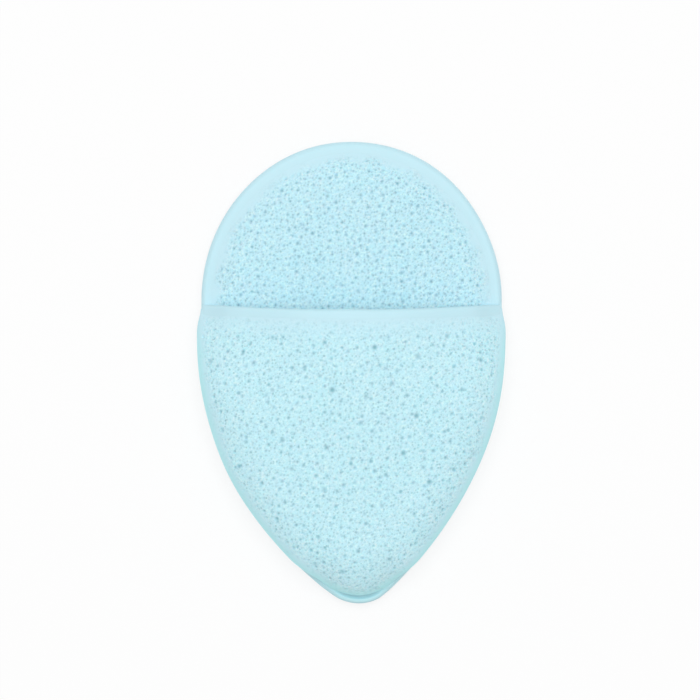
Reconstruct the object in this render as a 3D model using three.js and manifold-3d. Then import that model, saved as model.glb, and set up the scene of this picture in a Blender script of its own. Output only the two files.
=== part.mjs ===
// Makeup remover sponge: a teardrop of two foam layers, heat-pressed together round the edge.
// The back layer runs the full length. The front layer stops short of the round end, and the curved
// mouth that it leaves there opens into a pocket for the fingers.
// Millimetres, +Z up. The sponge lies on its flat back, round end towards +Y and tip towards -Y.
import * as THREE from 'three';
import { mergeVertices } from 'three/addons/utils/BufferGeometryUtils.js';
import Module from 'manifold-3d';

const wasm = await Module();
wasm.setup();

// Outline of the pressed edge, seen from above
const LENGTH = 120;
const BODY_WIDTH = 78;
const ARCH_HEIGHT = 41.5;
const TIP_RADIUS = 11;
const TIP_SPREAD_DEG = 40;
const TIP_LEAN = 2;
const LEAN_LENGTH = 37;
// How far each side's curve holds the direction of its upper and its lower end, as a share of its drop
const SIDE_FULLNESS = 0.2;
const TIP_FULLNESS = 0.56;

// Heat-pressed edge
const EDGE_WIDTH = 3.2;
const EDGE_THICKNESS = 3;
const EDGE_ROUNDING = 1.4;

// Back layer: its edges slope down to the pressed edge, and the higher the fall, the steeper their foot
const PAD_THICKNESS = 8;
const PAD_SLOPE = 7;
const PAD_FALL = 1.7;

// Front layer and the pocket under it
const POCKET_DEPTH = 76.2;
const POCKET_HEIGHT = 6;
const POCKET_ROUNDING = 12;
const PANEL_THICKNESS = 5;
const PANEL_ROUNDING = 14;
const PANEL_CROWN = 1.2;
const PANEL_WALL = 4.2;
const PANEL_TUCK = 1.3;
const BULGE_LEVEL = 3.4;
const SIDE_BULGE = 1.15;
const BULGE_RISE = 65;
const BULGE_FADE = 7.5;
const TIP_FLANGE = 1.8;
const FLANGE_LENGTH = 8;
const MOUTH_SAG = 1.5;
const LIP_WIDTH = 2.6;
// Arch of the mouth: share of the height that is pressed away at its ends, how far in from the sides that
// reaches on top and in the pocket, and how far back from the mouth
const MOUTH_PINCH = 0.62;
const PINCH_WIDTH = 36;
const POCKET_PINCH_WIDTH = 24;
const PINCH_LENGTH = 26;
const PINCH_FALLOFF = 1.6;

// Gap between pieces that touch
const CLEARANCE = 0.3;

// Facets
const HALF_OUTLINE_STEPS = 34;
const ROUNDING_STEPS = 5;
const EDGE_STEPS = 3;
const CROWN_STEPS = 3;
const MOUTH_STEPS = 24;

// Places that follow from the sizes
const HALF_WIDTH = BODY_WIDTH / 2;
const TIP_Y = -LENGTH / 2;
const WIDEST_Y = LENGTH / 2 - ARCH_HEIGHT;
const MOUTH_Y = TIP_Y + POCKET_DEPTH;
const MOUTH_END_Y = MOUTH_Y + MOUTH_SAG;
const EDGE_BOTTOM = (PAD_THICKNESS - EDGE_THICKNESS) / 2;
const EDGE_TOP = EDGE_BOTTOM + EDGE_THICKNESS;
const PANEL_BASE = EDGE_TOP + CLEARANCE;
const POCKET_TOP = PAD_THICKNESS + POCKET_HEIGHT;
const PANEL_TOP = POCKET_TOP + PANEL_THICKNESS;

const foam = new THREE.MeshStandardMaterial({ color: 0xbfe8f4, roughness: 0.95, metalness: 0 });
const sealedFoam = new THREE.MeshStandardMaterial({ color: 0xcaedf7, roughness: 0.6, metalness: 0 });

// Sideways drift of the outline, which grows towards the tip.
function lean(y) {
  return TIP_LEAN * (Math.max(TIP_Y + LEAN_LENGTH - y, 0) / LEAN_LENGTH) ** 2;
}

// The pressed edge: an elliptical arch, two full sides and a small round tip, counter-clockwise from the tip.
function edgeOutline() {
  const spread = THREE.MathUtils.degToRad(TIP_SPREAD_DEG);
  const drop = WIDEST_Y - TIP_Y;
  const sideX = TIP_RADIUS * Math.sin(spread);
  const sideY = TIP_Y + TIP_RADIUS * (1 - Math.cos(spread));
  const half = new THREE.Path();
  half.absarc(0, TIP_Y + TIP_RADIUS, TIP_RADIUS, -Math.PI / 2, spread - Math.PI / 2, false);
  half.bezierCurveTo(
    sideX + TIP_FULLNESS * drop * Math.cos(spread), sideY + TIP_FULLNESS * drop * Math.sin(spread),
    HALF_WIDTH, WIDEST_Y - SIDE_FULLNESS * drop,
    HALF_WIDTH, WIDEST_Y,
  );
  half.absellipse(0, WIDEST_Y, HALF_WIDTH, ARCH_HEIGHT, 0, Math.PI / 2, false);
  const right = half.getSpacedPoints(HALF_OUTLINE_STEPS);
  const left = right.slice(1, -1).reverse().map((point) => new THREE.Vector2(-point.x, point.y));
  return [...right, ...left].map((point) => new THREE.Vector2(point.x + lean(point.y), point.y));
}

// The front layer stops short of the pressed edge at the tip, and swells more and more past it up the sides,
// until just below the mouth.
function panelOutline(outline) {
  return outline.map((point) => {
    const pastFlange = THREE.MathUtils.smoothstep(point.y, TIP_Y, TIP_Y + FLANGE_LENGTH);
    const upSide = THREE.MathUtils.smoothstep(point.y, TIP_Y + FLANGE_LENGTH, TIP_Y + BULGE_RISE);
    const pastMouth = THREE.MathUtils.smoothstep(MOUTH_END_Y - point.y, 0, BULGE_FADE);
    const swell = SIDE_BULGE * upSide * pastMouth - TIP_FLANGE * (1 - pastFlange);
    return point.clone().setLength(point.length() + swell);
  });
}

// The mouth's arc across the sponge, lowest in the middle.
function mouthLine(x) {
  return MOUTH_Y + MOUTH_SAG * (x / HALF_WIDTH) ** 2;
}

// Presses rings of the front layer down towards the weld beside the mouth, so that the mouth is an arch.
function pinched(outline, rings, width) {
  return rings.map((points) => points.map((point, step) => {
    const inset = outline[step].length() - Math.hypot(point.x, point.y);
    const beside = Math.max(1 - inset / width, 0) ** PINCH_FALLOFF;
    const near = 1 - THREE.MathUtils.smoothstep(mouthLine(point.x) - point.y, 0, PINCH_LENGTH);
    const height = Math.max(point.z - PANEL_BASE, 0);
    return point.clone().setZ(point.z - MOUTH_PINCH * beside * near * height);
  }));
}

// The outline drawn in towards the middle by an inset, at one height.
function ring(outline, inset, z) {
  return outline.map((point) => {
    const inner = point.clone().setLength(point.length() - inset);
    return new THREE.Vector3(inner.x, inner.y, z);
  });
}

// Rings of a quarter ellipse that stands upright at its outer inset and lies flat at its inner one.
function rounding(outline, outer, inner, wallZ, faceZ, steps) {
  return Array.from({ length: steps + 1 }, (_, step) => {
    const angle = (step / steps) * (Math.PI / 2);
    const inset = outer + (inner - outer) * (1 - Math.cos(angle));
    return ring(outline, inset, wallZ + (faceZ - wallZ) * Math.sin(angle));
  });
}

// Rings of a soft slope that is steepest at its outer inset and lies flat at its inner one.
function slope(outline, outer, inner, footZ, faceZ) {
  return Array.from({ length: ROUNDING_STEPS + 1 }, (_, step) => {
    const share = step / ROUNDING_STEPS;
    const rise = 1 - (1 - share) ** PAD_FALL;
    return ring(outline, outer + (inner - outer) * share, footZ + (faceZ - footZ) * rise);
  });
}

// Smaller and smaller copies of a ring that rise in a shallow dome.
function crown(edge, rise) {
  return Array.from({ length: CROWN_STEPS }, (_, step) => {
    const share = 1 - (step + 1) / (CROWN_STEPS + 1);
    const lift = rise * (1 - share * share);
    return edge.map((point) => new THREE.Vector3(point.x * share, point.y * share, point.z + lift));
  });
}

// Closed skin over a stack of rings, with flat ends, or joined end to end where the rings go round a section.
function skin(rings, joinEnds = false) {
  const count = rings[0].length;
  const points = rings.flat();
  const index = [];
  const bands = joinEnds ? rings.length : rings.length - 1;
  for (let band = 0; band < bands; band++) {
    const low = band * count;
    const high = ((band + 1) % rings.length) * count;
    for (let step = 0; step < count; step++) {
      const next = (step + 1) % count;
      index.push(low + step, low + next, high + next, low + step, high + next, high + step);
    }
  }
  if (!joinEnds) {
    const top = (rings.length - 1) * count;
    for (const [first, ringPoints, upward] of [[0, rings[0], false], [top, rings.at(-1), true]]) {
      const middle = ringPoints.reduce((sum, point) => sum.add(point), new THREE.Vector3());
      points.push(middle.divideScalar(count));
      for (let step = 0; step < count; step++) {
        const here = first + step;
        const next = first + ((step + 1) % count);
        index.push(points.length - 1, upward ? here : next, upward ? next : here);
      }
    }
  }
  const geometry = new THREE.BufferGeometry().setFromPoints(points);
  geometry.setIndex(index);
  return geometry;
}

function toSolid(geometry) {
  const bare = geometry.clone();
  bare.deleteAttribute('normal');
  bare.deleteAttribute('uv');
  const merged = mergeVertices(bare);
  return new wasm.Manifold(new wasm.Mesh({
    numProp: 3,
    vertProperties: Float32Array.from(merged.attributes.position.array),
    triVerts: Uint32Array.from(merged.index.array),
  }));
}

function toMesh(name, shape, material) {
  const { vertProperties, triVerts } = shape.getMesh();
  const geometry = new THREE.BufferGeometry();
  geometry.setAttribute('position', new THREE.BufferAttribute(vertProperties, 3));
  geometry.setIndex(new THREE.BufferAttribute(triVerts, 1));
  geometry.computeVertexNormals();
  const mesh = new THREE.Mesh(geometry, material);
  mesh.name = name;
  return mesh;
}

// Everything on the tip's side of the mouth's arc, from well below the sponge to well above it.
// The arc can be set back towards the tip.
function belowMouth(setBack) {
  const reach = BODY_WIDTH;
  const rise = mouthLine(reach) - MOUTH_Y;
  const middle = MOUTH_Y - setBack;
  const shape = new THREE.Shape();
  shape.moveTo(-reach, TIP_Y - reach);
  shape.lineTo(reach, TIP_Y - reach);
  shape.lineTo(reach, middle + rise);
  shape.quadraticCurveTo(0, middle - rise, -reach, middle + rise);
  const settings = { depth: 2 * PANEL_TOP, bevelEnabled: false, curveSegments: MOUTH_STEPS };
  return toSolid(new THREE.ExtrudeGeometry(shape, settings).translate(0, 0, -PANEL_TOP / 2));
}

// Flat-backed foam pad with sloping edges, grown all round by a gap where it cuts its neighbour.
function padSolid(outline, gap) {
  const wall = EDGE_WIDTH + CLEARANCE - gap;
  const face = wall + PAD_SLOPE;
  const lower = slope(outline, wall, face, EDGE_BOTTOM - gap, -gap).reverse();
  const upper = slope(outline, wall, face, EDGE_TOP + gap, PAD_THICKNESS + gap);
  return toSolid(skin([...lower, ...upper]));
}

// Thin pressed band that follows the outline, with a rounded outer edge.
function pressedEdge(outline) {
  const middle = (EDGE_BOTTOM + EDGE_TOP) / 2;
  const lower = rounding(outline, 0, EDGE_ROUNDING, middle, EDGE_BOTTOM, EDGE_STEPS).reverse();
  const upper = rounding(outline, 0, EDGE_ROUNDING, middle, EDGE_TOP, EDGE_STEPS).slice(1);
  const inner = [ring(outline, EDGE_WIDTH, EDGE_TOP), ring(outline, EDGE_WIDTH, EDGE_BOTTOM)];
  return toSolid(skin([...lower, ...upper, ...inner], true));
}

// Crowned front layer with its edge tucked in over the weld, before the pocket is hollowed out.
function panelDome(outline) {
  const bulgeZ = PANEL_BASE + BULGE_LEVEL;
  const shoulderZ = PANEL_TOP - PANEL_CROWN;
  const tuck = rounding(outline, 0, PANEL_TUCK, bulgeZ, PANEL_BASE, EDGE_STEPS).reverse();
  const shoulder = rounding(outline, 0, PANEL_ROUNDING, bulgeZ, shoulderZ, ROUNDING_STEPS).slice(1);
  const rings = [...tuck, ...shoulder, ...crown(shoulder.at(-1), PANEL_CROWN)];
  return toSolid(skin(pinched(outline, rings, PINCH_WIDTH)));
}

// The hollow between the two layers.
function pocketHollow(outline) {
  const floor = ring(outline, PANEL_WALL, EDGE_BOTTOM);
  const inner = PANEL_WALL + POCKET_ROUNDING;
  const wall = rounding(outline, PANEL_WALL, inner, PANEL_BASE, POCKET_TOP - PANEL_CROWN, ROUNDING_STEPS);
  const rings = [floor, ...wall, ...crown(wall.at(-1), PANEL_CROWN)];
  return toSolid(skin(pinched(outline, rings, POCKET_PINCH_WIDTH)));
}

const edge = edgeOutline();
const front = panelOutline(edge);
const band = pressedEdge(edge);
const frontLayer = panelDome(front).subtract(pocketHollow(front)).subtract(padSolid(edge, CLEARANCE));
const lipStrip = frontLayer.intersect(belowMouth(0)).subtract(belowMouth(LIP_WIDTH));

const sponge = new THREE.Group();
sponge.add(
  toMesh('back_pad', padSolid(edge, 0), foam),
  toMesh('upper_rim', band.subtract(belowMouth(-CLEARANCE)), sealedFoam),
  toMesh('side_seam', band.intersect(belowMouth(0)), sealedFoam),
  toMesh('pocket_panel', frontLayer.intersect(belowMouth(LIP_WIDTH + CLEARANCE)), foam),
  toMesh('mouth_lip', lipStrip, sealedFoam),
);

export default sponge;
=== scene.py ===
"""Looks of a makeup remover sponge: two layers of porous foam with a smooth heat-pressed edge."""

import logging
import math
from dataclasses import dataclass, field, replace
from enum import Enum

import bmesh
import bpy
import numpy as np
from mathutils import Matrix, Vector
from mathutils.kdtree import KDTree


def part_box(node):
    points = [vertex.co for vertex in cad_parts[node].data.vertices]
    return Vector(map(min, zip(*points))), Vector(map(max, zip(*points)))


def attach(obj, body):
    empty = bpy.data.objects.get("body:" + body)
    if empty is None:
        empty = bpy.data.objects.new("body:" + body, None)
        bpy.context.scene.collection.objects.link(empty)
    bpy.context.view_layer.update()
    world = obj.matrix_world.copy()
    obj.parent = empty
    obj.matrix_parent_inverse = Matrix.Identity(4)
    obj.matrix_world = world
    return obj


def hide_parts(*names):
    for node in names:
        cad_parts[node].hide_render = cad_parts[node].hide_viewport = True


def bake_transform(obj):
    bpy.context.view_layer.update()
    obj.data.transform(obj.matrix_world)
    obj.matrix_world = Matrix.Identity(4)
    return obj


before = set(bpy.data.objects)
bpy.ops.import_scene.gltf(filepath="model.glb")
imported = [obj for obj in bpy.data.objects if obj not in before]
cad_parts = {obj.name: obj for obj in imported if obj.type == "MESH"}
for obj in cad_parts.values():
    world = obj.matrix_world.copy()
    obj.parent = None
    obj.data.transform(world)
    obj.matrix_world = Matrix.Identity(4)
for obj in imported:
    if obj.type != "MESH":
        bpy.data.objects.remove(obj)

Along = float | np.ndarray
Colour = tuple[float, float, float]
Span = tuple[float, float]
Mesh = bmesh.types.BMesh
Piece = bpy.types.Object
Socket = bpy.types.NodeSocket
Feed = dict[str | int, Socket | Colour | float]

LOG = logging.getLogger("sponge")
MM = 0.001
HAIR = 0.001 * MM
ROUND_STEPS = 480
FACE_SHARES = np.linspace(0.0, 1.0, 21, endpoint=False)
WANDER_RATE = 5
RELAX = 0.5


class Body(Enum):
    """The two bodies of the part: the back layer, and the front layer that lifts at its mouth."""

    BACK = "back"
    POCKET = "pocket"


class Slot(Enum):
    """Material slots of the part's record."""

    FOAM = "foam"
    SEALED = "sealed_foam"


class TipZone(Enum):
    """Stretches round the tip: angles from its line, in degrees, where each is whole and where it ends."""

    CREASE = (1.5, 7.0)
    SQUARE_FOOT = (2.0, 7.0)
    BRIM = (2.5, 12.0)
    UPRIGHT_WALL = (5.0, 14.0)
    SHADED_SIDES = (10.0, 22.0)


def smoothstep(low: float, high: float, value: Along) -> np.ndarray:
    """Rises smoothly from 0 at low to 1 at high.

    Args:
        low: Value where the ramp starts.
        high: Value where the ramp ends; it may be less than low.
        value: Where the ramp is read.

    Returns:
        The ramp's height, from 0 to 1.
    """
    share = np.clip((np.asarray(value, float) - low) / (high - low), 0.0, 1.0)
    return share * share * (3.0 - 2.0 * share)


def full_turn(steps: int) -> np.ndarray:
    """Evenly spaced angles once round, in radians, from -180 degrees on."""
    return np.linspace(-math.pi, math.pi, steps, endpoint=False)


def directions(angle: np.ndarray) -> np.ndarray:
    """Unit directions at angles, as rows of x and y."""
    return np.stack([np.cos(angle), np.sin(angle)], axis=1)


@dataclass(frozen=True)
class Levels:
    """Heights and places of the sponge, read from the frame, in metres."""

    edge_bottom: float
    edge_top: float
    pad_top: float
    panel_base: float
    panel_top: float
    mouth_y: float
    mouth_sag: float
    half_width: float
    tip_y: float
    side_bulge: float
    tip_flange: float
    lip_width: float = 2.6 * MM

    @classmethod
    def from_frame(cls) -> "Levels":
        """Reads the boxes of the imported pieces.

        Returns:
            The sponge's heights and places.
        """
        rim_low, rim_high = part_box("upper_rim")
        seam_low, seam_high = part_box("side_seam")
        panel_low, panel_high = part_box("pocket_panel")
        lip_low, lip_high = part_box("mouth_lip")
        mouth_y = lip_low.y + cls.lip_width
        return cls(
            edge_bottom=rim_low.z,
            edge_top=rim_high.z,
            pad_top=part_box("back_pad")[1].z,
            panel_base=panel_low.z,
            panel_top=panel_high.z,
            mouth_y=mouth_y,
            mouth_sag=lip_high.y - mouth_y,
            half_width=seam_high.x,
            tip_y=seam_low.y,
            side_bulge=panel_high.x - seam_high.x,
            tip_flange=panel_low.y - seam_low.y,
        )

    @property
    def edge_middle(self) -> float:
        """Height of the pressed edge's outermost line."""
        return (self.edge_bottom + self.edge_top) / 2

    def mouth_line(self, x: np.ndarray) -> np.ndarray:
        """The mouth's y at each x: a shallow arc, lowest in the middle."""
        return self.mouth_y + self.mouth_sag * (x / self.half_width) ** 2


class Outline:
    """A closed outline round the origin, as its distance from it at evenly spaced angles."""

    SAMPLES = 1440
    SPLINE_STEPS = 24
    LEAST_STEP = 1.5 * MM
    LEAST_HALF_WIDTH = 1.0 * MM
    LEVEL_SLACK = 0.01 * MM

    def __init__(self, radius: np.ndarray) -> None:
        """Keeps the outline's radius at each sampled angle, from -180 degrees on."""
        self.radius = radius

    @classmethod
    def angles(cls) -> np.ndarray:
        """The sampled angles, in radians."""
        return full_turn(cls.SAMPLES)

    @classmethod
    def of_pressed_edge(cls, levels: Levels) -> "Outline":
        """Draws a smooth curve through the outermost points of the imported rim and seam.

        Args:
            levels: Heights of the sponge.

        Returns:
            The outline of the pressed edge.
        """
        rows = [v.co for name in ("upper_rim", "side_seam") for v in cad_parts[name].data.vertices]
        points = np.array(rows)
        points = points[np.abs(points[:, 2] - levels.edge_middle) < cls.LEVEL_SLACK][:, :2]
        points = points[np.argsort(np.arctan2(points[:, 1], points[:, 0]))]
        kept = [points[0]]
        for point in points[1:]:
            if np.linalg.norm(point - kept[-1]) > cls.LEAST_STEP:
                kept.append(point)
        return cls.through(np.array(kept))

    @classmethod
    def through(cls, points: np.ndarray) -> "Outline":
        """Runs a closed Catmull-Rom curve through points and samples its radius by angle.

        Args:
            points: Rows of x and y, in order round the origin.

        Returns:
            The outline that passes through them.
        """
        before, after, beyond = (np.roll(points, shift, axis=0) for shift in (1, -1, -2))
        pieces = []
        for t in np.linspace(0.0, 1.0, cls.SPLINE_STEPS, endpoint=False):
            linear = (after - before) * t
            square = (2 * before - 5 * points + 4 * after - beyond) * t**2
            cubic = (3 * points - before - 3 * after + beyond) * t**3
            pieces.append(0.5 * (2 * points + linear + square + cubic))
        curve = np.stack(pieces, axis=1).reshape(-1, 2)
        angle = np.arctan2(curve[:, 1], curve[:, 0])
        order = np.argsort(angle)
        radius = np.linalg.norm(curve, axis=1)[order]
        return cls(np.interp(cls.angles(), angle[order], radius, period=2 * math.pi))

    def at(self, angle: np.ndarray) -> np.ndarray:
        """The outline's radius at any angles."""
        return np.interp(angle, self.angles(), self.radius, period=2 * math.pi)

    @property
    def places(self) -> tuple[np.ndarray, np.ndarray]:
        """The outline's x and y at its sampled angles."""
        angle = self.angles()
        return self.radius * np.cos(angle), self.radius * np.sin(angle)

    @property
    def tip(self) -> np.ndarray:
        """Direction of the outline's lowest point, seen from the origin."""
        lowest = self.angles()[np.argmin(self.places[1])]
        return np.array([math.cos(lowest), math.sin(lowest)])

    def at_tip(self, points: np.ndarray, zone: TipZone) -> np.ndarray:
        """How far points belong to a stretch round the tip.

        Args:
            points: Rows that start with x and y.
            zone: The stretch.

        Returns:
            A share for each point, from 0 to 1.
        """
        whole, end = (math.cos(math.radians(angle)) for angle in zone.value)
        toward = points[:, :2] @ self.tip / np.linalg.norm(points[:, :2], axis=1)
        return smoothstep(end, whole, toward)

    def inset_of(self, points: np.ndarray) -> np.ndarray:
        """How far each point lies inside the outline, seen from above, towards the origin."""
        return self.at(np.arctan2(points[:, 1], points[:, 0])) - np.linalg.norm(points[:, :2], axis=1)

    def ring(self, angle: np.ndarray, inset: Along, z: Along, share: float = 1.0) -> np.ndarray:
        """The outline drawn in by an inset and scaled by a share, at a height.

        Args:
            angle: Angles of the ring's points.
            inset: Distance towards the origin, the same all round or one for each angle.
            z: Height of the ring, the same all round or one for each angle.
            share: Factor on the ring's size after the inset.

        Returns:
            One row of x, y and z for each angle.
        """
        reach = (self.at(angle) - inset) * share
        height = np.broadcast_to(z, angle.shape)
        return np.stack([reach * np.cos(angle), reach * np.sin(angle), height], axis=1)

    def across(self, y: np.ndarray) -> tuple[np.ndarray, np.ndarray]:
        """Measures the outline across, at places below its widest line.

        Args:
            y: Where it is measured.

        Returns:
            The outline's middle and its half width at each y.
        """
        x, height = self.places
        sides = []
        for side in (x > 0, x <= 0):
            order = np.argsort(height[side])
            sides.append(np.interp(y, height[side][order], x[side][order]))
        right, left = sides
        return (right + left) / 2, np.maximum((right - left) / 2, self.LEAST_HALF_WIDTH)


def sheet(rows: np.ndarray, round_angle: bool, round_section: bool) -> Mesh:
    """Lays a grid over rows of points and welds the sides that meet.

    Args:
        rows: Points as section by angle by x, y, z.
        round_angle: True where the last angle meets the first.
        round_section: True where the last row meets the first.

    Returns:
        A bmesh whose faces point out.
    """
    if round_angle:
        rows = np.concatenate([rows, rows[:, :1]], axis=1)
    if round_section:
        rows = np.concatenate([rows, rows[:1]], axis=0)
    sections, angles = rows.shape[:2]
    mesh = bmesh.new()
    bmesh.ops.create_grid(mesh, x_segments=sections - 1, y_segments=angles - 1, size=1.0)
    for vert in mesh.verts:
        section = round((vert.co.x + 1) / 2 * (sections - 1))
        angle = round((vert.co.y + 1) / 2 * (angles - 1))
        vert.co = rows[section, angle]
    bmesh.ops.remove_doubles(mesh, verts=mesh.verts, dist=HAIR)
    bmesh.ops.recalc_face_normals(mesh, faces=mesh.faces)
    return mesh


def cap_open_ends(mesh: Mesh) -> None:
    """Closes every open end with a face that keeps its rim sharp.

    Args:
        mesh: The mesh to close.
    """
    rim = [edge for edge in mesh.edges if edge.is_boundary]
    bmesh.ops.holes_fill(mesh, edges=rim, sides=0)
    for edge in rim:
        edge.smooth = False
    bmesh.ops.recalc_face_normals(mesh, faces=mesh.faces)


def cut_across(mesh: Mesh, y: float, keep_tip_side: bool) -> None:
    """Cuts the mesh square across at a y, keeps one side and closes the cut.

    Args:
        mesh: The closed mesh to cut.
        y: Where it is cut.
        keep_tip_side: True to keep the part with the lower y.
    """
    normal = (0, 1, 0) if keep_tip_side else (0, -1, 0)
    everything = [*mesh.verts, *mesh.edges, *mesh.faces]
    bmesh.ops.bisect_plane(
        mesh, geom=everything, dist=HAIR, plane_co=(0, y, 0), plane_no=normal, clear_outer=True
    )
    cap_open_ends(mesh)


def write_mesh(mesh: Mesh, data: bpy.types.Mesh) -> None:
    """Writes a bmesh to a piece's data, smooth-shaded, and frees it.

    Args:
        mesh: The new shape.
        data: The data that it replaces.
    """
    for face in mesh.faces:
        face.smooth = True
    mesh.to_mesh(data)
    mesh.free()


def add_to_scene(name: str, data: bpy.types.ID) -> bpy.types.Object:
    """Puts a new object into the scene, at the origin.

    Args:
        name: Name of the object.
        data: Its mesh, camera or light.

    Returns:
        The object.
    """
    item = bpy.data.objects.new(name, data)
    bpy.context.scene.collection.objects.link(item)
    return item


def to_object(name: str, mesh: Mesh) -> Piece:
    """Makes a new piece of a bmesh, in the scene."""
    data = bpy.data.meshes.new(name)
    write_mesh(mesh, data)
    return add_to_scene(name, data)


def even_out(piece: Piece, grid: float, passes: int) -> None:
    """Replaces a piece's mesh by an even one of the same shape, with its corners softened.

    Args:
        piece: The closed piece.
        grid: Size of the new faces, in metres.
        passes: How often the new points are relaxed.
    """
    remesh = piece.modifiers.new("even", "REMESH")
    remesh.mode = "VOXEL"
    remesh.voxel_size = grid
    depsgraph = bpy.context.evaluated_depsgraph_get()
    even = bmesh.new()
    even.from_mesh(piece.evaluated_get(depsgraph).to_mesh())
    piece.modifiers.clear()
    every_way = {"use_axis_x": True, "use_axis_y": True, "use_axis_z": True}
    for _ in range(passes):
        bmesh.ops.smooth_vert(even, verts=even.verts, factor=RELAX, **every_way)
    write_mesh(even, piece.data)


def rows_of(items: bpy.types.bpy_prop_collection, name: str) -> np.ndarray:
    """Reads one vector from each item of a collection.

    Args:
        items: The collection.
        name: Name of the vector.

    Returns:
        Rows of x, y and z.
    """
    flat = np.zeros(len(items) * 3)
    items.foreach_get(name, flat)
    return flat.reshape(-1, 3)


def points_of(piece: Piece) -> np.ndarray:
    """The piece's points as rows of x, y and z."""
    return rows_of(piece.data.vertices, "co")


def move_points(piece: Piece, points: np.ndarray) -> None:
    """Gives the piece new places for its points."""
    piece.data.vertices.foreach_set("co", points.ravel())
    piece.data.update()


def lift_points(piece: Piece, lift: np.ndarray) -> None:
    """Moves each point of a piece out by its lift, but none below the flat back.

    Args:
        piece: The piece whose points move.
        lift: How far each point moves along its outward direction; less than 0 presses it in.
    """
    outward = rows_of(piece.data.vertex_normals, "vector")
    points = points_of(piece) + outward * lift[:, None]
    points[:, 2] = np.maximum(points[:, 2], 0.0)
    move_points(piece, points)


def write_values(piece: Piece, name: str, values: np.ndarray) -> None:
    """Stores one number for each point of the piece, for its material to read."""
    layer = piece.data.attributes.new(name, "FLOAT", "POINT")
    layer.data.foreach_set("value", values.astype(np.float32))


def unevenness(points: np.ndarray, height: float = 0.12 * MM) -> np.ndarray:
    """Slow ups and downs of soft foam: a few crossing waves, the same for every piece.

    Args:
        points: Where the foam is read.
        height: The highest that it rises.

    Returns:
        How far the surface rises at each point.
    """
    waves = ((21, 13, 0.4), (-17, 24, 2.1), (9, -31, 4.0), (34, 8, 1.3))
    total = np.zeros(len(points))
    for per_x, per_y, phase in waves:
        total += np.sin(2 * math.pi * (per_x * points[:, 0] + per_y * points[:, 1]) + phase)
    return height * total / len(waves)


def wander(points: np.ndarray, most: float) -> np.ndarray:
    """How far the border between pores and pressed skin strays from its even line."""
    return unevenness(WANDER_RATE * points, height=most)


@dataclass(frozen=True)
class Pores:
    """The open cells of the foam's surface, pressed into a mesh as small pits."""

    spacing: float
    least_radius: float
    most_radius: float
    depth: float
    seed: int

    CLOSEST = 0.75
    SPACING_SPREAD = 0.6
    SMALL_BIAS = 1.6
    LEAST_SHARE = 0.55
    SHARE_SPREAD = 0.45
    SMALL_DEPTH = 0.35

    def centres(self, points: np.ndarray, openness: np.ndarray) -> list[int]:
        """Picks scattered points that keep their distance from each other.

        Args:
            points: The mesh's points.
            openness: Chance of a pore at each point, from 0 to 1.

        Returns:
            The indices of the chosen points.
        """
        draw = np.random.default_rng(self.seed)
        order = draw.permutation(len(points))
        wanted = order[draw.random(len(points)) < openness[order]]
        own_spacing = self.spacing * (self.CLOSEST + self.SPACING_SPREAD * draw.random(len(points)))
        cells: dict[tuple[int, ...], list[int]] = {}
        chosen = []
        for index in wanted:
            place = points[index]
            cell = tuple(np.floor(place / self.spacing).astype(int))
            near = (
                other
                for dx in (-1, 0, 1) for dy in (-1, 0, 1) for dz in (-1, 0, 1)
                for other in cells.get((cell[0] + dx, cell[1] + dy, cell[2] + dz), ())
            )
            if all(np.sum((points[other] - place) ** 2) > own_spacing[index] ** 2 for other in near):
                cells.setdefault(cell, []).append(index)
                chosen.append(int(index))
        return chosen

    def pits(self, points: np.ndarray, openness: np.ndarray) -> np.ndarray:
        """Works out how deep the pores press each point in.

        Args:
            points: The mesh's points.
            openness: Chance and size of a pore at each point, from 0 to 1.

        Returns:
            A depth for each point, as a share of the deepest pit.
        """
        tree = KDTree(len(points))
        for index, place in enumerate(points):
            tree.insert(place, index)
        tree.balance()
        draw = np.random.default_rng(self.seed + 1)
        share = np.zeros(len(points))
        for index in self.centres(points, openness):
            size = draw.random() ** self.SMALL_BIAS
            radius = self.least_radius + (self.most_radius - self.least_radius) * size
            radius *= self.LEAST_SHARE + self.SHARE_SPREAD * openness[index]
            strength = self.LEAST_SHARE + self.SHARE_SPREAD * draw.random()
            strength *= min(1.0, radius / self.most_radius + self.SMALL_DEPTH)
            for _, near, distance in tree.find_range(points[index], radius):
                pit = strength * (1.0 - (distance / radius) ** 2)
                share[near] = max(share[near], pit)
        return share


def press_pores(piece: Piece, pores: tuple[Pores, ...], openness: np.ndarray) -> None:
    """Presses pores into a foam piece and stores how deep they are, for its material to paint shade into
    them.

    Args:
        piece: The piece, with an even mesh.
        pores: The sizes of pore that it has, the deepest first.
        openness: How open the foam is at each point, from 0 to 1.
    """
    points = points_of(piece)
    depth = np.zeros(len(points))
    shade = np.zeros(len(points))
    for kind in pores:
        share = kind.pits(points, openness)
        depth = np.maximum(depth, share * kind.depth)
        shade = np.maximum(shade, share * math.sqrt(kind.depth / pores[0].depth))
    lift_points(piece, unevenness(points) - depth)
    # How much shade the material paints into each pit.
    write_values(piece, "pore", shade)
    write_values(piece, "openness", openness)


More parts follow.
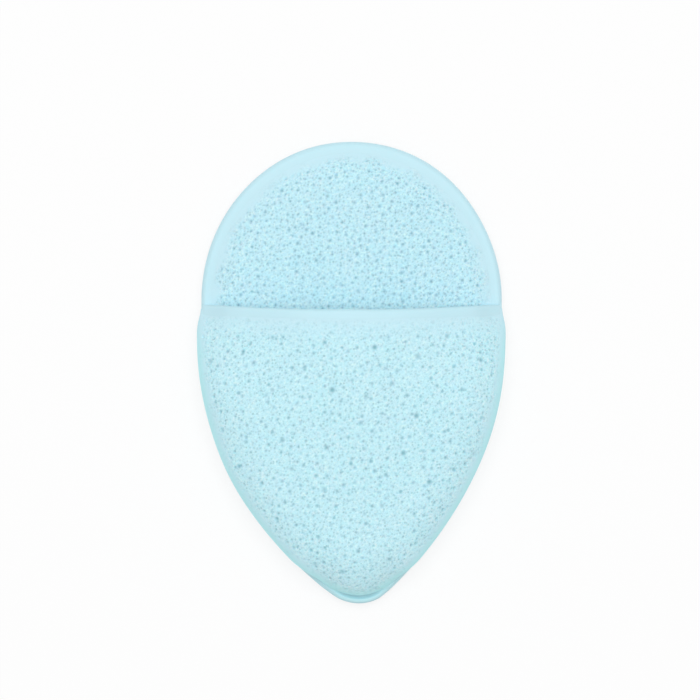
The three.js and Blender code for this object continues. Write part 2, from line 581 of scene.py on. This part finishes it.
class NodeKit:
    """Adds nodes to a node tree and joins them."""

    def __init__(self, tree: bpy.types.NodeTree) -> None:
        """Keeps the tree that the nodes go into."""
        self.tree = tree

    def feed(self, node: bpy.types.Node, values: Feed) -> None:
        """Links outputs to a node's inputs, or sets the inputs to constants.

        Args:
            node: The node.
            values: An output, a colour or a number for each input, by its name or its place.
        """
        for key, value in values.items():
            if isinstance(value, Socket):
                self.tree.links.new(value, node.inputs[key])
            else:
                node.inputs[key].default_value = (*value, 1.0) if isinstance(value, tuple) else value

    def node(self, kind: str, values: Feed, **choices: str | bpy.types.NodeTree) -> bpy.types.Node:
        """Adds a node.

        Args:
            kind: Its kind, by its name in Blender.
            values: What its inputs get.
            choices: The node's own settings.

        Returns:
            The new node.
        """
        node = self.tree.nodes.new(kind)
        for name, choice in choices.items():
            setattr(node, name, choice)
        self.feed(node, values)
        return node

    def math(self, operation: str, first: Socket, second: Socket | float) -> Socket:
        """Joins two numbers by one of Blender's operations."""
        return self.node("ShaderNodeMath", {0: first, 1: second}, operation=operation).outputs[0]

    def ramp(self, source: Socket, low: float, high: float) -> Socket:
        """Maps a value from 0 to 1 onto a range."""
        values = {"Value": source, "To Min": low, "To Max": high}
        return self.node("ShaderNodeMapRange", values).outputs["Result"]

    def band(self, source: Socket, low: float, high: float) -> Socket:
        """Rises smoothly from 0 to 1 while a value goes from low to high."""
        values = {"Value": source, "From Min": low, "From Max": high}
        return self.node("ShaderNodeMapRange", values, interpolation_type="SMOOTHSTEP").outputs["Result"]


@dataclass(frozen=True)
class Grain:
    """The foam's fine grain, as a node group that all its finishes share."""

    name: str = "foam_grain"
    crumb_rate: float = 2.3
    crumb_share: float = 0.4
    # Scale of the fine noise, which both bumps the surface and places the painted highlights.
    bump_and_highlight_rate: float = 1.5
    cell_band: Span = (0.42, 0.22)
    crumb_band: Span = (0.45, 0.15)
    # Where the fine noise turns into painted highlights.
    painted_highlight_band: Span = (0.48, 0.68)

    def group(self) -> bpy.types.NodeTree:
        """Builds the group at its first use.

        Returns:
            A node group that puts out a height, dark cells that set painted shade, bright flecks that set
            painted highlights, and slow clouds of tint.
        """
        if self.name in bpy.data.node_groups:
            return bpy.data.node_groups[self.name]
        tree = bpy.data.node_groups.new(self.name, "ShaderNodeTree")
        tree.interface.new_socket("Place", in_out="INPUT", socket_type="NodeSocketVector")
        for name in ("Cell Scale", "Cloud Scale"):
            tree.interface.new_socket(name, in_out="INPUT", socket_type="NodeSocketFloat")
        for name in ("Height", "Speck", "Painted Highlight", "Cloud"):
            tree.interface.new_socket(name, in_out="OUTPUT", socket_type="NodeSocketFloat")
        kit = NodeKit(tree)
        entry = kit.node("NodeGroupInput", {}).outputs
        place, cell_scale, cloud_scale = (entry[name] for name in ("Place", "Cell Scale", "Cloud Scale"))
        crumb_scale = kit.math("MULTIPLY", cell_scale, self.crumb_rate)
        bump_and_highlight_scale = kit.math("MULTIPLY", cell_scale, self.bump_and_highlight_rate)
        cell = kit.node("ShaderNodeTexVoronoi", {"Vector": place, "Scale": cell_scale}).outputs
        crumb = kit.node("ShaderNodeTexVoronoi", {"Vector": place, "Scale": crumb_scale}).outputs
        fine = kit.node("ShaderNodeTexNoise", {"Vector": place, "Scale": bump_and_highlight_scale}).outputs["Fac"]
        cloud = kit.node("ShaderNodeTexNoise", {"Vector": place, "Scale": cloud_scale}).outputs["Fac"]
        cells = kit.math("MULTIPLY", kit.band(cell["Distance"], *self.cell_band), cell["Color"])
        crumbs = kit.math("MULTIPLY", kit.band(crumb["Distance"], *self.crumb_band), self.crumb_share)
        speck = kit.math("MAXIMUM", cells, crumbs)
        kit.node("NodeGroupOutput", {
            "Height": kit.math("SUBTRACT", fine, speck),
            "Speck": speck,
            # Painted highlights where the fine noise is high.
            "Painted Highlight": kit.band(fine, *self.painted_highlight_band),
            "Cloud": cloud,
        })
        return tree


class MaterialKit(NodeKit):
    """One material under construction: its nodes, its links and its Principled shader."""

    SOAK_RADIUS = (0.5, 1.0, 1.1)
    SOAK_DEPTH = 2.0 * MM
    SHEEN_ROUGHNESS = 0.5

    def __init__(self, name: str) -> None:
        """Starts a material with nothing but its shader and output.

        Args:
            name: Name of the material.
        """
        self.material = bpy.data.materials.new(name)
        self.material.use_nodes = True
        super().__init__(self.material.node_tree)
        self.shader = self.tree.nodes["Principled BSDF"]

    def soften(self) -> None:
        """Sets how far light soaks into the foam, and how its fine cell walls catch it on steep sides."""
        self.shader.inputs["Subsurface Radius"].default_value = self.SOAK_RADIUS
        self.feed(self.shader, {"Subsurface Scale": self.SOAK_DEPTH, "Sheen Roughness": self.SHEEN_ROUGHNESS})

    def grain(self, cell_scale: float, cloud_scale: float) -> bpy.types.bpy_prop_collection:
        """Places the foam's grain, in the piece's own coordinates.

        Args:
            cell_scale: How many cells there are in a metre.
            cloud_scale: How many clouds of tint there are in a metre.

        Returns:
            The grain's outputs.
        """
        place = self.node("ShaderNodeTexCoord", {}).outputs["Object"]
        values = {"Place": place, "Cell Scale": cell_scale, "Cloud Scale": cloud_scale}
        return self.node("ShaderNodeGroup", values, node_tree=Grain().group()).outputs

    def value_of(self, name: str) -> Socket:
        """Reads a number that is stored on the piece's points."""
        return self.node("ShaderNodeAttribute", {}, attribute_name=name).outputs["Fac"]

    def mix_colour(self, share: Socket, first: Socket | Colour, second: Socket | Colour) -> Socket:
        """Fades from one colour to another.

        Args:
            share: How much of the second colour shows.
            first: The first colour, an output or a constant.
            second: The second colour, an output or a constant.

        Returns:
            The mixed colour's output.
        """
        node = self.node("ShaderNodeMix", {"Factor": share}, data_type="RGBA")
        start, end = (place for place, socket in enumerate(node.inputs) if socket.type == "RGBA")
        self.feed(node, {start: first, end: second})
        return next(socket for socket in node.outputs if socket.type == "RGBA")

    def bump(self, height: Socket, strength: Socket | float, distance: float) -> Socket:
        """Roughens the surface with a height, whose full distance is in metres."""
        values = {"Height": height, "Strength": strength, "Distance": distance}
        return self.node("ShaderNodeBump", values).outputs["Normal"]


@dataclass(frozen=True)
class FoamFinish:
    """Matte open-cell foam: pale walls with brighter flecks painted as highlights, and a deeper colour
    painted as shade inside the cells and pits.

    Where the foam is closed it turns to its skin colour. Along the weld, light is painted on the steep sides:
    a deeper, brighter cyan that stands in for light scattered in the foam and makes up for the slope's shade.
    A pair of values runs from closed foam to open foam.
    """

    name: str
    wall: Colour
    tint: Colour
    # Colour painted as highlights on the cell walls.
    painted_highlight: Colour
    # Colour painted as shade inside the pores and cells.
    painted_pore_shade: Colour
    skin: Colour
    # Colour painted as light on the steep sides: a deeper, brighter cyan.
    painted_side_light: Colour
    cell_scale: float = 1150.0
    cloud_scale: float = 95.0
    cell_shade_share: float = 0.7
    grain_depth: float = 0.14 * MM
    grain_strength: Span = (0.12, 0.55)
    roughness: Span = (0.73, 0.88)
    soak: Span = (0.05, 0.5)
    specular: float = 0.25
    sheen: float = 0.5
    sheen_tint: Colour = (0.5, 0.95, 0.97)

    def material(self) -> bpy.types.Material:
        """Builds the foam's material.

        Returns:
            A material that reads the pore, openness and painted side light values of its piece.
        """
        kit = MaterialKit(self.name)
        grain = kit.grain(self.cell_scale, self.cloud_scale)
        openness = kit.value_of("openness")
        walls = kit.mix_colour(grain["Cloud"], self.wall, self.tint)
        # Painted highlights: bright flecks of fine noise stand in for light caught on the cell walls.
        highlighted = kit.mix_colour(grain["Painted Highlight"], walls, self.painted_highlight)
        # Painted shade: the real pits and the grain's smaller dark cells get a deeper colour that stands in
        # for shade inside them.
        painted_cell_shade = kit.math("MULTIPLY", grain["Speck"], self.cell_shade_share)
        depth = kit.math("MAXIMUM", kit.value_of("pore"), painted_cell_shade)
        pitted = kit.mix_colour(depth, highlighted, self.painted_pore_shade)
        surface = kit.mix_colour(openness, self.skin, pitted)
        strength = kit.ramp(openness, *self.grain_strength)
        kit.soften()
        kit.feed(kit.shader, {
            # Painted light: a deeper, brighter cyan mixed onto the steep sides near the weld.
            "Base Color": kit.mix_colour(kit.value_of("painted_side_light"), surface, self.painted_side_light),
            "Roughness": kit.ramp(openness, *self.roughness),
            "Normal": kit.bump(grain["Height"], strength, self.grain_depth),
            "Subsurface Weight": kit.ramp(openness, *self.soak),
            "Specular IOR Level": self.specular,
            "Sheen Weight": self.sheen,
            "Sheen Tint": self.sheen_tint,
        })
        return kit.material


@dataclass(frozen=True)
class SealedFinish:
    """Foam melted to a smooth satin skin by the heat press."""

    name: str
    skin: Colour
    tint: Colour
    # Colour painted as shade in the weld's groove and at its bead's outer edge round the tip.
    painted_shade: Colour
    cell_scale: float = 1500.0
    cloud_scale: float = 140.0
    grain_depth: float = 0.1 * MM
    grain_strength: float = 0.1
    roughness: Span = (0.49, 0.61)
    soak: float = 0.05
    specular: float = 0.35
    sheen: float = 0.4
    sheen_tint: Colour = (0.75, 0.96, 1.0)

    def material(self) -> bpy.types.Material:
        """Builds the sealed skin's material.

        Returns:
            A material with a fine matte grain and a soft gloss, which reads the painted shade value of its
            piece and mixes in a darker colour there as painted shade.
        """
        kit = MaterialKit(self.name)
        grain = kit.grain(self.cell_scale, self.cloud_scale)
        clouded = kit.mix_colour(grain["Cloud"], self.skin, self.tint)
        kit.soften()
        kit.feed(kit.shader, {
            # Painted shade: darker where the piece's painted shade value says, in the groove, at the bead's
            # edge and beside the tip.
            "Base Color": kit.mix_colour(kit.value_of("painted_shade"), clouded, self.painted_shade),
            "Roughness": kit.ramp(grain["Cloud"], *self.roughness),
            "Normal": kit.bump(grain["Height"], self.grain_strength, self.grain_depth),
            "Subsurface Weight": self.soak,
            "Specular IOR Level": self.specular,
            "Sheen Weight": self.sheen,
            "Sheen Tint": self.sheen_tint,
        })
        return kit.material


def dress_as(piece: Piece, node: str, material: bpy.types.Material) -> None:
    """Gives a piece its material and sets it in place of a packed one.

    Args:
        piece: The new piece.
        node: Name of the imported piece.
        material: The new piece's material.
    """
    piece.data.materials.clear()
    piece.data.materials.append(material)
    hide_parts(node)
    LOG.info("%s: %d points", piece.name, len(piece.data.vertices))


@dataclass
class BackLayer:
    """The full-length foam pad and the pressed edge round it."""

    levels: Levels
    edge: Outline
    foam: FoamFinish
    sealed: SealedFinish
    weld: SealedFinish
    nose: float = 1.4 * MM
    nose_steps: int = 15
    face_inset: float = 10.5 * MM
    pad_inset: float = 1.0 * MM
    pad_rings: int = 26
    pad_tuck: float = 0.08 * MM
    tuck_span: Span = (3.6 * MM, 2.0 * MM)
    skin_dive: float = 2.2 * MM
    skin_reach: float = 4.8 * MM
    skin_lift: float = 0.03 * MM
    skin_sink: float = 0.12 * MM
    skin_rings: int = 13
    skin_steps: int = 420
    crease_inset: float = 1.8 * MM
    crease_width: float = 0.9 * MM
    crease_depth: float = 0.55 * MM
    crease_room: float = 1.6
    # How strongly shade is painted in the groove, at the bead's outer edge and beside the tip.
    crease_shade: float = 0.45
    brim_span: Span = (0.45 * MM, 0.1 * MM)
    brim_shade: float = 0.55
    side_shade: float = 0.12
    pore_span: Span = (2.9 * MM, 6.8 * MM)
    border_wander: float = 1.6 * MM
    grid: float = 0.32 * MM
    relax: int = 3
    pores: tuple[Pores, ...] = (
        Pores(1.9 * MM, 0.34 * MM, 0.60 * MM, 0.52 * MM, seed=11),
        Pores(1.0 * MM, 0.20 * MM, 0.36 * MM, 0.28 * MM, seed=23),
    )

    def swell(self, inset: float) -> float:
        """How far the foam has risen from the pressed edge to its full thickness, from 0 to 1."""
        return float(smoothstep(self.nose, self.face_inset, inset))

    def upper(self, inset: float) -> float:
        """Height of the layer's upper face at an inset."""
        return self.levels.edge_top + (self.levels.pad_top - self.levels.edge_top) * self.swell(inset)

    def lower(self, inset: float) -> float:
        """Height of the layer's lower face at an inset."""
        return self.levels.edge_bottom * (1.0 - self.swell(inset))

    def creased(self, inset: Along, points: np.ndarray) -> np.ndarray:
        """How far the weld's top is pressed in behind its bead, from 0 to 1: only at the tip."""
        across = np.maximum(0.0, 1 - ((inset - self.crease_inset) / self.crease_width) ** 2) ** 2
        return across * self.edge.at_tip(points, TipZone.CREASE)

    def build_pad(self) -> Piece:
        """Shapes the foam pad, whose edge hides inside the pressed skin.

        Returns:
            The pad, with its pores.
        """
        angle = full_turn(ROUND_STEPS)
        round_way = directions(angle)
        face, wall = self.face_inset, []
        rows = [self.edge.ring(angle, face, self.upper(face), share) for share in FACE_SHARES]
        for inset in np.linspace(face, self.pad_inset, self.pad_rings):
            hidden = self.pad_tuck * float(smoothstep(*self.tuck_span, inset))
            sunk = hidden + self.crease_room * self.crease_depth * self.creased(inset, round_way)
            rows.append(self.edge.ring(angle, inset, self.upper(inset) - sunk))
            wall.append(self.edge.ring(angle, inset, self.lower(inset) + hidden))
        rows += wall[::-1]
        rows += [self.edge.ring(angle, face, self.lower(face), share) for share in FACE_SHARES[::-1]]
        mesh = sheet(np.array(rows), round_angle=True, round_section=False)
        pad = to_object("foam_back", mesh)
        even_out(pad, self.grid, self.relax)
        points = points_of(pad)
        from_edge = self.edge.inset_of(points) + wander(points, self.border_wander)
        press_pores(pad, self.pores, smoothstep(*self.pore_span, from_edge))
        return pad

    def edge_section(self) -> list[tuple[float, float]]:
        """Draws the pressed skin's section.

        Returns:
            Insets and heights, from its upper inner edge round to its lower one.
        """
        middle = self.levels.edge_middle
        half = (self.levels.edge_top - self.levels.edge_bottom) / 2
        upper, lower = [], []
        for inset in np.linspace(self.skin_reach, self.nose, self.skin_rings, endpoint=False):
            dive = float(smoothstep(self.skin_dive, self.skin_reach, inset))
            lift = self.skin_lift - (self.skin_lift + self.skin_sink) * dive
            upper.append((inset, self.upper(inset) + lift))
            lower.append((inset, self.lower(inset) - lift))
        nose = [
            (self.nose * (1 - math.cos(turn)), middle + (half + self.skin_lift) * math.sin(turn))
            for turn in np.linspace(math.pi / 2, -math.pi / 2, self.nose_steps)
        ]
        return upper + nose + lower[::-1]

    def build_skin(self, name: str, first: float, last: float) -> Piece:
        """Runs the pressed skin along a stretch of the outline.

        Args:
            name: Name of the new piece.
            first: Angle where it starts.
            last: Angle where it ends.

        Returns:
            The closed band.
        """
        angle = np.linspace(first, last, self.skin_steps)
        round_way = directions(angle)
        rows = []
        for inset, z in self.edge_section():
            depth = self.crease_depth if z > self.levels.edge_middle else 0.0
            rows.append(self.edge.ring(angle, inset, z - depth * self.creased(inset, round_way)))
        band = sheet(np.array(rows), round_angle=False, round_section=True)
        cap_open_ends(band)
        skin = to_object(name, band)
        points = points_of(skin)
        # Painted shade for the groove, the bead's outer edge and the seam beside the tip.
        write_values(skin, "painted_shade", self.skin_shade(points))
        lift_points(skin, unevenness(points))
        return skin

    def skin_shade(self, points: np.ndarray) -> np.ndarray:
        """Works out where shade is painted on the pressed skin: in its groove at the tip, at the bead's outer
        edge round the tip, and fainter beside the tip.

        Args:
            points: Points of the skin.

        Returns:
            How much of the painted shade's colour shows at each point, from 0 to 1.
        """
        inset = self.edge.inset_of(points)
        at_brim = smoothstep(*self.brim_span, inset) * self.edge.at_tip(points, TipZone.BRIM)
        off_crease = 1 - self.edge.at_tip(points, TipZone.CREASE)
        beside = self.edge.at_tip(points, TipZone.SHADED_SIDES) * off_crease
        shades = (
            self.crease_shade * self.creased(inset, points),
            self.brim_shade * at_brim,
            self.side_shade * beside,
        )
        return np.max(shades, axis=0)

    def mouth_angles(self) -> Span:
        """Finds where the mouth ends on the outline.

        Returns:
            The angles of its right end and its left end.
        """
        x, y = self.edge.places
        above = self.edge.angles()[y > self.levels.mouth_line(x)]
        return float(above.min()), float(above.max())

    def dress(self) -> None:
        """Builds the pad, the rim and the seam and sets them on the back body."""
        right, left = self.mouth_angles()
        pad = self.build_pad()
        rim = self.build_skin("skin_rim", right, left)
        seam = self.build_skin("skin_seam", left, right + 2 * math.pi)
        rows = (
            (pad, "back_pad", self.foam, Slot.FOAM),
            (rim, "upper_rim", self.sealed, Slot.SEALED),
            (seam, "side_seam", self.weld, Slot.SEALED),
        )
        for piece, node, finish, slot in rows:
            dress_as(piece, node, finish.material())
            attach(piece, Body.BACK.value)


@dataclass
class FrontLayer:
    """The crowned foam panel over the finger pocket, and the sealed lip along its mouth."""

    levels: Levels
    edge: Outline
    foam: FoamFinish
    sealed: SealedFinish
    outline: Outline = field(init=False)
    flange_run: float = 12.0 * MM
    flange_share: float = 1.22
    bulge_run: float = 65.0 * MM
    mouth_run: float = 7.5 * MM
    thickness: float = 5.0 * MM
    crown: float = 1.2 * MM
    shoulder: float = 14.0 * MM
    wall: float = 4.2 * MM
    pocket_shoulder: float = 12.0 * MM
    rounding_steps: int = 18
    tuck: float = 1.3 * MM
    bulge_level: float = 3.4 * MM
    weld_overlap: float = 0.45 * MM
    foot_flare: float = 0.9 * MM
    foot_height: float = 1.6 * MM
    foot_margin: float = 0.9 * MM
    pinch: float = 0.62
    pinch_fall: float = 1.6
    pinch_width: float = 36.0 * MM
    pocket_pinch_width: float = 24.0 * MM
    pinch_length: float = 26.0 * MM
    lip_cover: float = 0.8 * MM
    lip_dive: float = 2.0 * MM
    lip_tail: float = 4.4 * MM
    lip_lift: float = 0.03 * MM
    lip_sink: float = 0.15 * MM
    lip_end: float = 0.45
    lip_end_width: float = 8.0 * MM
    lip_end_length: float = 8.0 * MM
    lip_clear: Span = (-0.2 * MM, 1.0 * MM)
    lip_calm: float = 0.3
    lip_calm_length: float = 6.5 * MM
    # Where light is painted on the panel's steep sides, and how far behind the lip it takes to come in.
    painted_side_light_width: float = 2.6 * MM
    painted_side_light_fade: float = 11.0 * MM
    pore_span: Span = (0.9 * MM, 3.2 * MM)
    tip_reach: float = 1.4 * MM
    border_wander: float = 0.66 * MM
    arch_fall: float = 1.3
    grid: float = 0.32 * MM
    relax: int = 3
    lip_grid: float = 0.28 * MM
    lip_relax: int = 30
    pores: tuple[Pores, ...] = (
        Pores(9.0 * MM, 0.60 * MM, 0.90 * MM, 0.60 * MM, seed=29),
        Pores(2.2 * MM, 0.34 * MM, 0.60 * MM, 0.50 * MM, seed=31),
        Pores(1.1 * MM, 0.20 * MM, 0.36 * MM, 0.26 * MM, seed=47),
    )

    def __post_init__(self) -> None:
        """Works out the layer's own outline."""
        self.outline = self.swollen()

    def swollen(self) -> Outline:
        """Draws the layer's outline: proud of the pressed edge at the sides, short of it at the tip.

        Returns:
            The outline of the front layer.
        """
        levels, y = self.levels, self.edge.places[1]
        flange_end = levels.tip_y + self.flange_run
        past_flange = smoothstep(levels.tip_y, flange_end, y)
        up_side = smoothstep(flange_end, levels.tip_y + self.bulge_run, y)
        mouth_end = levels.mouth_y + levels.mouth_sag
        past_mouth = smoothstep(mouth_end, mouth_end - self.mouth_run, y)
        short = self.flange_share * levels.tip_flange * (1 - past_flange)
        swell = levels.side_bulge * up_side * past_mouth - short
        return Outline(self.edge.radius + swell)

    def rounding(self, outer: Along, inner: Along, wall_z: Along, face_z: Along) -> list[tuple[Along, Along]]:
        """A quarter ellipse, upright at its outer inset and flat at its inner one.

        Args:
            outer: Inset where it stands upright.
            inner: Inset where it lies flat.
            wall_z: Height at the outer inset.
            face_z: Height at the inner inset.

        Returns:
            Insets and heights from the outer end to the inner one.
        """
        return [
            (outer + (inner - outer) * (1 - math.cos(turn)), wall_z + (face_z - wall_z) * math.sin(turn))
            for turn in np.linspace(0.0, math.pi / 2, self.rounding_steps)
        ]

    def dome(self, angle: np.ndarray, inset: float, top: float, share: float) -> np.ndarray:
        """One ring of the shallow crown, as a share of its outermost ring."""
        return self.outline.ring(angle, inset, top - self.crown * share**2, share)

    def foot(self, angle: np.ndarray) -> np.ndarray:
        """Works out how far the layer's foot spreads over the weld: as room allows, and not at the tip.

        Args:
            angle: Where it is read.

        Returns:
            The foot's spread at each angle.
        """
        room = np.maximum(self.edge.at(angle) - self.outline.at(angle) - self.foot_margin, 0.0)
        off_tip = 1 - self.outline.at_tip(directions(angle), TipZone.SQUARE_FOOT)
        return np.minimum(self.foot_flare, room) * off_tip

    def shell(self) -> Mesh:
        """Shapes the whole front layer, as if it had no mouth, with the mouth's arc laid straight.

        Returns:
            A closed bowl, upside down.
        """
        angle = full_turn(ROUND_STEPS)
        base = self.levels.panel_base - self.weld_overlap
        top, roof = self.levels.panel_top, self.levels.panel_top - self.thickness
        overhang = 1 - self.outline.at_tip(directions(angle), TipZone.UPRIGHT_WALL)
        bulge = base + self.weld_overlap + self.bulge_level * overhang
        outside = self.rounding(0.0, self.shoulder, bulge, top - self.crown)[::-1]
        under = self.rounding(0.0, self.tuck * overhang, bulge, base)[1:]
        inner = self.wall + self.pocket_shoulder
        inside = self.rounding(self.wall, inner, base, roof - self.crown)
        skin = [self.dome(angle, self.shoulder, top, share) for share in FACE_SHARES]
        for inset, z in outside + under:
            low = np.clip(1 - (z - base) / self.foot_height, 0.0, 1.0) ** 2
            skin.append(self.outline.ring(angle, inset - self.foot(angle) * low, z))
        lining = [self.outline.ring(angle, inset, z) for inset, z in inside]
        lining += [self.dome(angle, inner, roof, share) for share in FACE_SHARES[::-1]]
        points = np.concatenate([
            self.pinched(np.array(skin), base, self.pinch_width),
            self.pinched(np.array(lining), base, self.pocket_pinch_width),
        ])
        points[..., 1] -= self.levels.mouth_line(points[..., 0])
        return sheet(points, round_angle=True, round_section=False)

    def pinched(self, points: np.ndarray, base: float, width: float) -> np.ndarray:
        """Presses the mouth's two ends down towards the weld, so that the lip runs into the rim.

        Args:
            points: Rows of rings of the whole front layer.
            base: Height of the weld.
            width: How far in from the sides they are pressed.

        Returns:
            The same rows, lower beside the mouth.
        """
        flat = points.reshape(-1, 3)
        inset = self.outline.inset_of(flat)
        behind = self.levels.mouth_line(flat[:, 0]) - flat[:, 1]
        beside = np.clip(1 - inset / width, 0.0, 1.0) ** self.pinch_fall
        near = 1 - smoothstep(0.0, self.pinch_length, behind)
        flat[:, 2] -= self.pinch * beside * near * (flat[:, 2] - base)
        at_end = smoothstep(self.lip_end_width, 0.0, inset)
        at_end = at_end * (1 - smoothstep(0.0, self.lip_end_length, behind))
        flat[:, 2] -= self.lip_end * at_end * np.maximum(flat[:, 2] - base, 0.0)
        return flat.reshape(points.shape)

    def bend_mouth(self, piece: Piece) -> np.ndarray:
        """Gives the mouth's arc back to a piece that was cut with it laid straight.

        Args:
            piece: The piece, cut square.

        Returns:
            How far each point lies behind the mouth.
        """
        points = points_of(piece)
        behind = -points[:, 1]
        points[:, 1] += self.levels.mouth_line(points[:, 0])
        move_points(piece, points)
        return behind

    def build_panel(self) -> Piece:
        """Shapes the foam panel, whose cut edge hides inside the lip.

        Returns:
            The panel, with its pores.
        """
        mesh = self.shell()
        cut_across(mesh, -self.lip_cover, keep_tip_side=True)
        panel = to_object("foam_pocket", mesh)
        even_out(panel, self.grid, self.relax)
        past_lip = self.bend_mouth(panel) - self.levels.lip_width
        points = points_of(panel)
        inset = self.outline.inset_of(points)
        at_tip = self.outline.at_tip(points, TipZone.UPRIGHT_WALL)
        reach = self.tip_reach * at_tip + wander(points, self.border_wander)
        from_side = smoothstep(*self.pore_span, inset + reach)
        clear_of_lip = smoothstep(*self.lip_clear, past_lip)
        from_lip = self.lip_calm + (1 - self.lip_calm) * smoothstep(0.0, self.lip_calm_length, past_lip)
        press_pores(panel, self.pores, from_side * clear_of_lip * from_lip)
        # Painted light on the steep sides: strongest at the outline, none at the lip, full further back.
        down_side = smoothstep(0.0, self.painted_side_light_fade, past_lip)
        write_values(panel, "painted_side_light", smoothstep(self.painted_side_light_width, 0.0, inset) * down_side)
        return panel

    def build_lip(self) -> Piece:
        """Shapes the sealed strip along the mouth, whose rear edge sinks into the panel.

        Returns:
            The lip, with rounded edges.
        """
        mesh = self.shell()
        cut_across(mesh, 0.0, keep_tip_side=True)
        cut_across(mesh, -self.lip_tail, keep_tip_side=False)
        lip = to_object("skin_lip", mesh)
        even_out(lip, self.lip_grid, self.lip_relax)
        behind = self.bend_mouth(lip)
        dive = smoothstep(self.lip_dive, self.lip_tail, behind)
        lift = self.lip_lift - (self.lip_lift + self.lip_sink) * dive
        lift_points(lip, lift + unevenness(points_of(lip)))
        return lip

    def arch(self, piece: Piece) -> None:
        """Bakes a piece's placement into its mesh and measures the layer's outline across at its points; the
        measure is not used.

        Args:
            piece: The panel or the lip.
        """
        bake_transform(piece)
        points = points_of(piece)
        middle, half = self.outline.across(points[:, 1])

    def dress(self) -> None:
        """Builds the panel and the lip, dresses them in place of the imported pieces and bakes their
        placement into their meshes.
        """
        panel, lip = self.build_panel(), self.build_lip()
        rows = (
            (panel, "pocket_panel", self.foam, Slot.FOAM),
            (lip, "mouth_lip", self.sealed, Slot.SEALED),
        )
        for piece, node, finish, slot in rows:
            dress_as(piece, node, finish.material())
            self.arch(piece)


@dataclass(frozen=True)
class Studio:
    """White table, soft light from above and a camera that looks straight down."""

    picture_px: float = 700.0
    mm_per_px: float = 120.0 / 463.0
    centre_px: Span = (351.5, 372.5)
    distance: float = 1.0
    sensor: float = 36.0
    object_height: float = 6.0 * MM
    table_size: float = 3.0
    table_drop: float = 0.1 * MM
    table_colour: Colour = (0.92, 0.92, 0.92)
    table_roughness: float = 0.8
    table_specular: float = 0.1
    table_glow: float = 0.8
    lamp_size: float = 1.0
    lamp_height: float = 1.3
    lamp_shift: float = 0.2
    lamp_power: float = 10.6
    sky: float = 0.485

    def build_camera(self) -> None:
        """Sets the camera over the sponge so that it fills the same part of the picture."""
        data = bpy.data.cameras.new("camera")
        span = self.picture_px * self.mm_per_px * MM
        data.sensor_width = self.sensor
        data.lens = self.sensor * self.distance / span
        camera = add_to_scene("camera", data)
        half = self.picture_px / 2
        shift_x = (half - self.centre_px[0]) * self.mm_per_px * MM
        shift_y = (self.centre_px[1] - half) * self.mm_per_px * MM
        camera.location = (shift_x, shift_y, self.distance + self.object_height)
        bpy.context.scene.camera = camera

    def build_table(self) -> None:
        """Lays the pale table, which shows white and keeps a faint shadow."""
        mesh = bmesh.new()
        bmesh.ops.create_grid(mesh, x_segments=1, y_segments=1, size=self.table_size / 2)
        bmesh.ops.translate(mesh, verts=mesh.verts, vec=(0, 0, -self.table_drop))
        table = to_object("table", mesh)
        kit = MaterialKit("table_white")
        kit.feed(kit.shader, {
            "Base Color": self.table_colour,
            "Roughness": self.table_roughness,
            "Specular IOR Level": self.table_specular,
        })
        seen = kit.node("ShaderNodeLightPath", {}).outputs["Is Camera Ray"]
        mixer = kit.node("ShaderNodeMixShader", {
            0: kit.math("MULTIPLY", seen, self.table_glow),
            1: kit.shader.outputs["BSDF"],
            2: kit.node("ShaderNodeEmission", {}).outputs["Emission"],
        })
        kit.feed(kit.tree.nodes["Material Output"], {"Surface": mixer.outputs["Shader"]})
        table.data.materials.append(kit.material)

    def build_light(self) -> None:
        """Hangs one wide lamp beyond the round end and fills in from a white sky."""
        data = bpy.data.lights.new("softbox", "AREA")
        data.shape = "DISK"
        data.size = self.lamp_size
        data.energy = self.lamp_power
        lamp = add_to_scene("softbox", data)
        lamp.location = (0.0, self.lamp_shift, self.lamp_height)
        lamp.rotation_euler = Vector(lamp.location).to_track_quat("Z", "Y").to_euler()
        world = bpy.data.worlds.new("sky")
        world.use_nodes = True
        back = world.node_tree.nodes["Background"]
        back.inputs["Color"].default_value = (1, 1, 1, 1)
        back.inputs["Strength"].default_value = self.sky
        bpy.context.scene.world = world

    def build(self) -> None:
        """Builds the camera, the table and the light."""
        self.build_camera()
        self.build_table()
        self.build_light()
        bpy.context.scene.view_settings.view_transform = "Standard"


def main() -> None:
    """Builds the studio and the sponge."""
    logging.basicConfig(level=logging.INFO, format="%(name)s: %(message)s")
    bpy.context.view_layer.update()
    Studio().build()
    levels = Levels.from_frame()
    edge = Outline.of_pressed_edge(levels)
    sealed = SealedFinish(
        # The darkest colour here is painted shade for the weld's groove and bead edge.
        "sealed_skin", skin=(0.56, 0.812, 0.90), tint=(0.535, 0.81, 0.89), painted_shade=(0.26, 0.52, 0.60)
    )
    weld = replace(sealed, name="weld_skin", skin=(0.56, 0.85, 0.91), tint=(0.53, 0.84, 0.89))
    back_foam = FoamFinish(
        name="back_foam",
        wall=(0.595, 0.863, 0.98),
        tint=(0.54, 0.853, 0.965),
        # Colour painted as highlights on the cell walls.
        painted_highlight=(0.685, 0.935, 1.0),
        # Colour painted as shade inside the pores.
        painted_pore_shade=(0.275, 0.52, 0.60),
        skin=(0.575, 0.83, 0.92),
        # Colour painted as light on the steep sides.
        painted_side_light=(0.522, 0.895, 0.95),
    )
    pocket_foam = replace(
        back_foam,
        name="pocket_foam",
        wall=(0.603, 0.872, 0.978),
        tint=(0.548, 0.862, 0.95),
        # Colour painted as shade inside the pores.
        painted_pore_shade=(0.275, 0.53, 0.59),
    )
    BackLayer(levels, edge, back_foam, sealed, weld).dress()
    FrontLayer(levels, edge, pocket_foam, sealed).dress()


if __name__ == "__main__":
    main()
